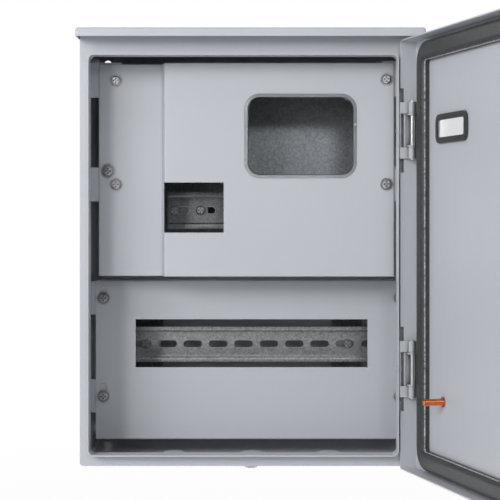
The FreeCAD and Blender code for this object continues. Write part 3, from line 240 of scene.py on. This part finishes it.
def grey_rubber():
    return fine_grained("grey_rubber", (0.5, 0.51, 0.53), 0.6, tint=(80.0, 0.92, 1.05),
                        sheen=(600.0, 0.5, 0.68), grain=(1500.0, 0.00006), metallic=0.0)


def rubber():
    shader = Shader("rubber", (0.035, 0.036, 0.038), 0.4)
    shader.vary_colour(shader.noise(420.0, detail=4.0, roughness=0.7), 0.5, 1.7)
    pores_and_glints = shader.noise(1700.0, detail=2.0, roughness=0.6)
    shader.vary_roughness(pores_and_glints, 0.3, 0.5)
    shader.bump(pores_and_glints, 0.0002, strength=0.4)
    return shader.material


def gasket_lip_glints():
    shader = Shader("gasket_lip_glints", (0.2, 0.203, 0.21), 0.35)
    pores_and_glints = shader.noise(420.0, detail=3.0, roughness=0.7)
    # the light colour and its strong speckle are a painted highlight: glints along the lip
    shader.vary_colour(pores_and_glints, 0.1, 3.0)
    shader.vary_roughness(pores_and_glints, 0.28, 0.5)
    shader.bump(pores_and_glints, 0.0003, strength=0.5)
    return shader.material


def clear_plastic():
    shader = Shader("clear_plastic", (0.93, 0.955, 0.965), 0.04)
    shader.make_clear(1.0)
    shader.vary_roughness(shader.noise(30.0, detail=3.0), 0.02, 0.07)
    shader.bump(shader.noise(14.0, detail=2.0), 0.0002, strength=0.25)
    return shader.material


def pane_edge():
    shader = Shader("pane_edge", (0.62, 0.64, 0.665), 0.2)
    shader.make_clear(0.6)
    shader.vary_roughness(shader.noise(90.0, detail=3.0), 0.12, 0.3)
    shader.bump(shader.noise(60.0, detail=2.0), 0.0002, strength=0.3)
    return shader.material


def dress(materials):
    """Each CAD node gets the material of its slot in the record."""
    for part in frame["record"]["subparts"]:
        target = nodes[part["node"]]
        target.data.materials.clear()
        target.data.materials.append(materials[part["material_slot"]])


def paint(names, material):
    for name in names:
        nodes[name].data.materials[0] = material


# Stage: white surround for the camera, soft studio light for the object
WHITE = (1.0, 1.0, 1.0, 1.0)
AMBIENT_COLOUR = (0.95, 0.98, 1.0, 1.0)
AMBIENT = 0.43
ROOM_LEVEL = 0.03
ROOM_FADE = (-0.25, 0.35)     # y of a direction, from the dark room to the white behind
FLOOR_AT = -0.34
FLOOR_SIZE = 2.6
FLOOR_COLOUR = (0.86, 0.86, 0.86, 1.0)
FLOOR_ROUGHNESS = 0.9
FLOOR_WHITE = 0.95            # share of plain white near the object, the rest takes its shadow
FLOOR_FADE = (0.5, 1.15)      # distances between which that share grows to 1


def larger(tree, first, second):
    node = tree.nodes.new("ShaderNodeMath")
    node.operation = "MAXIMUM"
    tree.links.new(first, node.inputs[0])
    tree.links.new(second, node.inputs[1])
    return node.outputs[0]


def faded(tree, value, span, low):
    """A value mapped from the span to between low and 1."""
    fade = tree.nodes.new("ShaderNodeMapRange")
    fade.inputs["From Min"].default_value, fade.inputs["From Max"].default_value = span
    fade.inputs["To Min"].default_value = low
    tree.links.new(value, fade.inputs["Value"])
    return fade.outputs["Result"]


def mixed(tree, share, first, second):
    node = tree.nodes.new("ShaderNodeMixShader")
    tree.links.new(share, node.inputs["Fac"])
    tree.links.new(first, node.inputs[1])
    tree.links.new(second, node.inputs[2])
    return node.outputs["Shader"]


def room_level(tree):
    """1 behind the object, and little in front of it, where a dark room stands."""
    coords = tree.nodes.new("ShaderNodeTexCoord")
    parts = tree.nodes.new("ShaderNodeSeparateXYZ")
    tree.links.new(coords.outputs["Generated"], parts.inputs["Vector"])
    return faded(tree, parts.outputs["Y"], ROOM_FADE, ROOM_LEVEL)


def make_world():
    """White for the eye, the room for metal and glass, and soft light for the rest."""
    world = bpy.data.worlds.new("studio")
    world.use_nodes = True
    tree = world.node_tree
    soft = tree.nodes["Background"]
    soft.inputs["Color"].default_value = AMBIENT_COLOUR
    soft.inputs["Strength"].default_value = AMBIENT
    room = tree.nodes.new("ShaderNodeBackground")
    room.inputs["Color"].default_value = WHITE
    tree.links.new(room_level(tree), room.inputs["Strength"])
    white = tree.nodes.new("ShaderNodeBackground")
    white.inputs["Color"].default_value = WHITE
    path = tree.nodes.new("ShaderNodeLightPath")
    mirrored = larger(tree, path.outputs["Is Glossy Ray"], path.outputs["Is Transmission Ray"])
    surround = mixed(tree, mirrored, soft.outputs["Background"], room.outputs["Background"])
    surround = mixed(tree, path.outputs["Is Camera Ray"], surround, white.outputs["Background"])
    tree.links.new(surround, tree.nodes["World Output"].inputs["Surface"])
    bpy.context.scene.world = world


def floor_material():
    """Almost white where it is seen, with a faint shadow of the object."""
    material = bpy.data.materials.new("floor")
    material.use_nodes = True
    tree = material.node_tree
    bsdf = tree.nodes["Principled BSDF"]
    bsdf.inputs["Base Color"].default_value = FLOOR_COLOUR
    bsdf.inputs["Roughness"].default_value = FLOOR_ROUGHNESS
    glow = tree.nodes.new("ShaderNodeEmission")
    glow.inputs["Color"].default_value = WHITE
    path = tree.nodes.new("ShaderNodeLightPath")
    seen = larger(tree, path.outputs["Is Camera Ray"], path.outputs["Is Transmission Ray"])
    seen = larger(tree, seen, path.outputs["Is Glossy Ray"])
    coords = tree.nodes.new("ShaderNodeTexCoord")
    away = tree.nodes.new("ShaderNodeVectorMath")
    away.operation = "LENGTH"
    tree.links.new(coords.outputs["Object"], away.inputs[0])
    share = tree.nodes.new("ShaderNodeMath")
    share.operation = "MULTIPLY"
    tree.links.new(seen, share.inputs[0])
    tree.links.new(faded(tree, away.outputs["Value"], FLOOR_FADE, FLOOR_WHITE), share.inputs[1])
    surface = mixed(tree, share.outputs[0], bsdf.outputs["BSDF"], glow.outputs["Emission"])
    tree.links.new(surface, tree.nodes["Material Output"].inputs["Surface"])
    return material


def make_floor():
    half = FLOOR_SIZE / 2
    mesh = bpy.data.meshes.new("floor")
    mesh.from_pydata([(-half, -half, FLOOR_AT), (half, -half, FLOOR_AT),
                      (half, half, FLOOR_AT), (-half, half, FLOOR_AT)], [], [(0, 1, 2, 3)])
    mesh.materials.append(floor_material())
    floor = bpy.data.objects.new("floor", mesh)
    bpy.context.scene.collection.objects.link(floor)


# Soft boxes on the left and above, an upright strip on the left, a key lamp right of the
# camera: name, distance, degrees to the right and up, width and height, watts
LAMP_CENTRE = Vector((0.0, -0.14, 0.0))
LAMPS = [
    ("left_box", 1.8, -34, 20, (0.9, 0.6), 11.3),
    ("left_strip", 1.8, -24, 15, (0.2, 1.0), 4.0),
    ("side_box", 1.8, -56, 14, (0.5, 0.7), 3.0),
    ("top_box", 1.8, -10, 58, (0.9, 0.6), 1.8),
    ("key", 2.6, 9.4, 18.7, (0.4, 0.4), 5.5),
]


def make_lamp(name, distance, right, up, size, watts):
    """An area lamp in front of the object that faces the lamps' centre."""
    data = bpy.data.lights.new(name, "AREA")
    data.shape = "RECTANGLE"
    data.size, data.size_y = size
    data.energy = watts
    right, up = math.radians(right), math.radians(up)
    toward = Vector((math.sin(right) * math.cos(up), -math.cos(right) * math.cos(up), math.sin(up)))
    lamp = bpy.data.objects.new(name, data)
    lamp.location = LAMP_CENTRE + distance * toward
    lamp.rotation_euler = (-toward).to_track_quat("-Z", "Y").to_euler()
    bpy.context.scene.collection.objects.link(lamp)


# Building blocks for the pieces that the CAD leaves plain

def add_piece(name, mesh, body, material, crease=40.0):
    mesh.materials.append(material)
    for face in mesh.polygons:
        face.use_smooth = True
    mesh.set_sharp_from_angle(angle=math.radians(crease))
    piece = bpy.data.objects.new(name, mesh)
    bpy.context.scene.collection.objects.link(piece)
    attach(piece, body)
    return piece


def mesh_from(name, points, faces):
    mesh = bpy.data.meshes.new(name)
    mesh.from_pydata(points, [], faces)
    shell = bmesh.new()
    shell.from_mesh(mesh)
    bmesh.ops.recalc_face_normals(shell, faces=shell.faces)
    shell.to_mesh(mesh)
    shell.free()
    return mesh


def inset_corners(box, inset):
    """The corners of a rectangle, given by its left, right, bottom and top, moved inward."""
    left, right, bottom, top = box
    return [(left + inset, bottom + inset), (right - inset, bottom + inset),
            (right - inset, top - inset), (left + inset, top - inset)]


def rounded_path(corners, radius, steps=5, closed=False):
    """A polyline in a plane with arcs at its corners."""
    corners = [Vector(c) for c in corners]
    count = len(corners)
    path = []
    for i, corner in enumerate(corners):
        if not closed and i in (0, count - 1):
            path.append(corner)
            continue
        before = (corners[i - 1] - corner).normalized()
        after = (corners[(i + 1) % count] - corner).normalized()
        half = before.angle(after) / 2
        middle = corner + (before + after).normalized() * (radius / math.sin(half))
        start = corner + before * (radius / math.tan(half)) - middle
        stop = corner + after * (radius / math.tan(half)) - middle
        sweep = start.angle_signed(stop)
        for k in range(steps + 1):
            turned = Matrix.Rotation(-sweep * k / steps, 2) @ start
            path.append(middle + turned)
    return path


def band_faces(first, loops, count):
    """Quads between neighbouring loops of count points, and from the last loop to the first."""
    faces = []
    for i in range(loops):
        near, far = first + i * count, first + (i + 1) % loops * count
        for k in range(count):
            step = (k + 1) % count
            faces.append((near + k, near + step, far + step, far + k))
    return faces


def ring_mesh(name, paths, place, radius, sides=8):
    """Round beads along closed paths in a plane; place gives the 3-D point of a path point."""
    points, faces = [], []
    for path in paths:
        faces += band_faces(len(points), len(path), sides)
        for i, spot in enumerate(path):
            along = (path[(i + 1) % len(path)] - path[i - 1]).normalized()
            out = Vector((along.y, -along.x))
            for k in range(sides):
                turn = math.tau * k / sides
                points.append(place(spot + out * (radius * math.cos(turn)),
                                    radius * math.sin(turn)))
    return mesh_from(name, points, faces)


def section_ring(name, box, radius, section):
    """A closed band round a rounded rectangle; the section gives (inset, y) pairs."""
    points = []
    for inset, y in section:
        path = rounded_path(inset_corners(box, inset), radius - inset, steps=8, closed=True)
        points += [(spot.x, y, spot.y) for spot in path]
    faces = band_faces(0, len(section), len(points) // len(section))
    return mesh_from(name, points, faces)


EDGE_ANGLE = 35.0
SHEET_EDGE = 0.0004
SCREW_EDGE = 0.00015
SCREW_ANGLE = 30.0
WELD_REACH = 0.000002
FLAT_ANGLE = 0.5


def round_edges(piece, width, angle=EDGE_ANGLE, segments=2):
    """Small radii along edges sharper than the angle, and even shading on the flat faces."""
    edge = piece.modifiers.new("edge", "BEVEL")
    edge.width = width
    edge.segments = segments
    edge.limit_method = "ANGLE"
    edge.angle_limit = math.radians(angle)
    even = piece.modifiers.new("even", "WEIGHTED_NORMAL")
    even.mode = "FACE_AREA"
    even.weight = 100
    even.keep_sharp = True


def soften(names, width, angle=EDGE_ANGLE):
    """Small radii along the cut and bent edges of CAD nodes."""
    for name in names:
        node = nodes[name]
        weld = node.modifiers.new("weld", "WELD")
        weld.merge_threshold = WELD_REACH
        flat = node.modifiers.new("flat", "DECIMATE")
        flat.decimate_type = "DISSOLVE"
        flat.angle_limit = math.radians(FLAT_ANGLE)
        round_edges(node, width, angle)


# Mounting rails: the CAD's hat section with rolled bends and pressed slots
RAIL_SHEET = 0.001
RAIL_WALL = 0.013             # half the distance between the hat's two walls
RAIL_BEND = 0.0011
RAIL_EDGE = 0.00045
RAIL_EDGE_ANGLE = 50.0
RAIL_CREASE = 30.0
SLOT_HALF = 0.0059            # half the distance between the centres of a slot's round ends
SLOT_RADIUS = 0.0031
SLOT_PITCH = 0.025
SLOT_ARC = 10                 # steps in each round end
CUT_REACH = 0.002             # of the cutter to either side of the rail's web
BURR = 0.00035
BURR_ROUND = 0.98             # keeps a short straight piece at the slot's ends


def scrap_object(name, points, faces):
    """An object for a cut, which removes it again."""
    scrap = bpy.data.objects.new(name, mesh_from(name, points, faces))
    bpy.context.scene.collection.objects.link(scrap)
    return scrap


def rail_blank(ends, front, back, up, edge):
    """A rail without slots; front and back are the middles of the sheet."""
    line = rounded_path([(front, edge), (front, RAIL_WALL), (back, RAIL_WALL), (back, -RAIL_WALL),
                         (front, -RAIL_WALL), (front, -edge)], RAIL_BEND)
    outer, inner = [], []
    for i, spot in enumerate(line):
        along = (line[min(i + 1, len(line) - 1)] - line[max(i - 1, 0)]).normalized()
        out = Vector((along.y, -along.x)) * (RAIL_SHEET / 2)
        outer.append(spot + out)
        inner.append(spot - out)
    section = outer + inner[::-1]
    size = len(section)
    points = [(x, spot.x, up + spot.y) for x in ends for spot in section]
    faces = [(k, (k + 1) % size, size + (k + 1) % size, size + k) for k in range(size)]
    for end in (0, size):
        faces += [(end + k, end + k + 1, end + size - 2 - k, end + size - 1 - k)
                  for k in range(len(outer) - 1)]
    return scrap_object("rail_blank", points, faces)


def slot_cutter(places, web, up):
    """Solids with round ends through the web of a rail."""
    points, faces = [], []
    size = 2 * (SLOT_ARC + 1)
    for place in places:
        first = len(points)
        for depth in (-CUT_REACH, CUT_REACH):
            for end in (1, -1):
                for k in range(SLOT_ARC + 1):
                    turn = math.pi * (k / SLOT_ARC - 0.5) + (0 if end > 0 else math.pi)
                    points.append((place + end * SLOT_HALF + SLOT_RADIUS * math.cos(turn),
                                   web + depth, up + SLOT_RADIUS * math.sin(turn)))
        faces.append(tuple(first + k for k in range(size)))
        faces.append(tuple(first + size + k for k in reversed(range(size))))
        for k in range(size):
            step = (k + 1) % size
            faces.append((first + k, first + step, first + size + step, first + size + k))
    return scrap_object("slot_cutter", points, faces)


def cut_mesh(blank, cutter):
    cut = blank.modifiers.new("slots", "BOOLEAN")
    cut.operation = "DIFFERENCE"
    cut.solver = "EXACT"
    cut.object = cutter
    graph = bpy.context.evaluated_depsgraph_get()
    mesh = bpy.data.meshes.new_from_object(blank.evaluated_get(graph))
    mesh.materials.clear()
    for scrap in (blank, cutter):
        bpy.data.objects.remove(scrap)
    return mesh


def make_burrs(name, places, surface, up, material):
    """Fine beads round the slots, on the front of the web."""
    reach = SLOT_HALF + SLOT_RADIUS
    outlines = []
    for place in places:
        slot = (place - reach, place + reach, up - SLOT_RADIUS, up + SLOT_RADIUS)
        outlines.append(rounded_path(inset_corners(slot, -BURR), SLOT_RADIUS * BURR_ROUND + BURR,
                                     steps=8, closed=True))
    mesh = ring_mesh(name, outlines, lambda spot, rise: (spot.x, surface - rise, spot.y),
                     BURR, sides=6)
    add_piece(name, mesh, "enclosure", material)


def make_rail(node, first_slot, count, material, burr_material):
    """A formed rail in the place of a CAD rail; first_slot is measured from its left end."""
    low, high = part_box(node)
    up = (low[2] + high[2]) / 2
    front, back = low[1] + RAIL_SHEET / 2, high[1] - RAIL_SHEET / 2
    places = [low[0] + first_slot + SLOT_PITCH * k for k in range(count)]
    blank = rail_blank((low[0], high[0]), front, back, up, (high[2] - low[2]) / 2)
    mesh = cut_mesh(blank, slot_cutter(places, back, up))
    rail = add_piece(node + "_formed", mesh, "enclosure", material, RAIL_CREASE)
    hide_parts(node)
    round_edges(rail, RAIL_EDGE, RAIL_EDGE_ANGLE, segments=3)
    make_burrs(node + "_burrs", places, high[1] - RAIL_SHEET, up, burr_material)


# Frame of the meter window: left, right, bottom and top of the opening and its corner radius
WINDOW = (-0.0035, 0.0948, 0.0671, 0.1397)
WINDOW_RADIUS = 0.0117
PANE_FRONT = -0.145
# Its section: inset from the opening's edge, and distance behind the pane's front
FRAME_SECTION = [(-0.0026, 0.0026), (-0.0026, 0.0021), (-0.0019, 0.0017), (-0.0006, 0.0014),
                 (-0.0002, 0.0007), (0.0003, 0.0005), (0.0006, 0.0009), (0.0002, 0.0026)]


def make_pane_frame(material):
    """Moulded frame that closes the joint between the cover and the blister."""
    section = [(inset, PANE_FRONT + behind) for inset, behind in FRAME_SECTION]
    mesh = section_ring("meter_window_frame", WINDOW, WINDOW_RADIUS, section)
    add_piece("meter_window_frame", mesh, "enclosure", material)


# Door pieces are drawn with the door shut, then turned to the photograph's angle
HINGE = Vector((0.1455, -0.1772, 0.0))
DOOR_OPEN = math.radians(105)
# Left, right, bottom and top of the gasket's outer edge
GASKET = (-0.1506, 0.1369, -0.1955, 0.1846)
GASKET_RADIUS = 0.020
GASKET_WIDTH = 0.017
LIP_OVERLAP = 0.0004
LIP_RADIUS = 0.0007
LIP_AT = -0.1796


def door_point(x, y, z):
    return HINGE + Matrix.Rotation(DOOR_OPEN, 3, "Z") @ (Vector((x, y, z)) - HINGE)


def make_gasket_lip(material):
    """The seal's inner lip, a fine bead below the crest, coloured with painted glints."""
    inset = GASKET_WIDTH - LIP_OVERLAP
    path = rounded_path(inset_corners(GASKET, inset), GASKET_RADIUS - inset, steps=6, closed=True)
    mesh = ring_mesh("door_gasket_lip", [path],
                     lambda spot, rise: door_point(spot.x, LIP_AT + rise, spot.y), LIP_RADIUS)
    add_piece("door_gasket_lip", mesh, "door", material)


# Threads: name, slot, x and z on the shut door, first and last y, radius, pitch, height
THREADS = [
    ("door_earth_stud_thread", "copper",
     0.0843, -0.1311, -0.1822, -0.1664, 0.00275, 0.001, 0.0003),
    ("lock_housing_thread", "lock_metal",
     -0.1188, 0.0, -0.1783, -0.1743, 0.009, 0.001, 0.0004),
]
THREAD_SIDES = 24             # points to a turn
THREAD_FOOT = 0.45            # half the ridge's foot, as a share of the pitch
THREAD_CREASE = 25.0


def thread_mesh(name, start, axis, length, radius, pitch, height):
    """A helical ridge round a shaft, which runs out over half a turn at either end."""
    axis = axis.normalized()
    side = axis.orthogonal().normalized()
    other = axis.cross(side)
    steps = int(length / pitch * THREAD_SIDES)
    foot = radius - height * 0.5
    points, faces = [], []
    for i in range(steps + 1):
        turn = math.tau * i / THREAD_SIDES
        out = side * math.cos(turn) + other * math.sin(turn)
        centre = start + axis * (pitch * i / THREAD_SIDES)
        fade = min(1.0, i / THREAD_SIDES * 2, (steps - i) / THREAD_SIDES * 2)
        points.append(centre + out * foot - axis * (pitch * THREAD_FOOT))
        points.append(centre + out * (foot + height * (0.5 + fade)))
        points.append(centre + out * foot + axis * (pitch * THREAD_FOOT))
    for i in range(steps):
        a, b = 3 * i, 3 * i + 3
        faces += [(a, b, b + 1, a + 1), (a + 1, b + 1, b + 2, a + 2), (a + 2, b + 2, b, a)]
    faces += [(0, 1, 2), (3 * steps, 3 * steps + 2, 3 * steps + 1)]
    return mesh_from(name, points, faces)


def make_threads(materials):
    for name, slot, x, z, first, last, radius, pitch, height in THREADS:
        start = door_point(x, first, z)
        axis = door_point(x, last, z) - start
        mesh = thread_mesh(name, start, axis, last - first, radius, pitch, height)
        add_piece(name, mesh, "door", materials[slot], THREAD_CREASE)


make_camera()
make_world()
make_floor()
for lamp_row in LAMPS:
    make_lamp(*lamp_row)

MATERIALS = {
    "powder_coat": powder_coat(),
    "zinc": zinc(),
    "screws": bright_steel(),
    "rubber": rubber(),
    "grey_rubber": grey_rubber(),
    "clear_plastic": clear_plastic(),
    "lock_metal": lock_metal(),
    "copper": copper(),
}
SHEETS = ["enclosure_shell", "rain_canopy", "meter_cover", "breaker_cover", "door_panel"]
SHEETS += [name for name in nodes if name.startswith("bracket_")]
SCREWS = [name for name in nodes if name.endswith(("screws", "screw"))]
WASHERS = [name for name in nodes if name.endswith(("washers", "washer"))]
HINGE_SHEETS = ["upper_hinge_leaf", "upper_hinge_bracket",
                "lower_hinge_leaf", "lower_hinge_bracket"]
PINS = ["upper_hinge_pin", "lower_hinge_pin", "hinge_rivets"]
PANES = ["meter_window", "door_window_pane"]

steel = pin_steel()
dress(MATERIALS)
# A shaded copy of the powder coat for the hinge leaves and brackets: darker all over, with painted
# shade reaching far into their hollows.
paint(HINGE_SHEETS, powder_coat("shaded_hinge_paint", level=0.92, hollow=0.012, shade=0.2))
paint(WASHERS, washer_steel())
paint(PINS, steel)
soften(SHEETS, SHEET_EDGE)
soften(SCREWS + WASHERS, SCREW_EDGE, SCREW_ANGLE)
for pane in PANES:
    nodes[pane].visible_shadow = False

# A shaded copy of the rail zinc for the upper rail: its darker colour is painted shade.
shaded_zinc = rail_zinc("shaded_rail_zinc", level=0.33)
make_rail("lower_rail", first_slot=0.0125, count=11, material=rail_zinc(), burr_material=steel)
make_rail("upper_rail", first_slot=0.0108, count=3, material=shaded_zinc, burr_material=steel)
make_pane_frame(pane_edge())
make_gasket_lip(gasket_lip_glints())
make_threads(MATERIALS)

bpy.context.scene.view_settings.view_transform = "Standard"
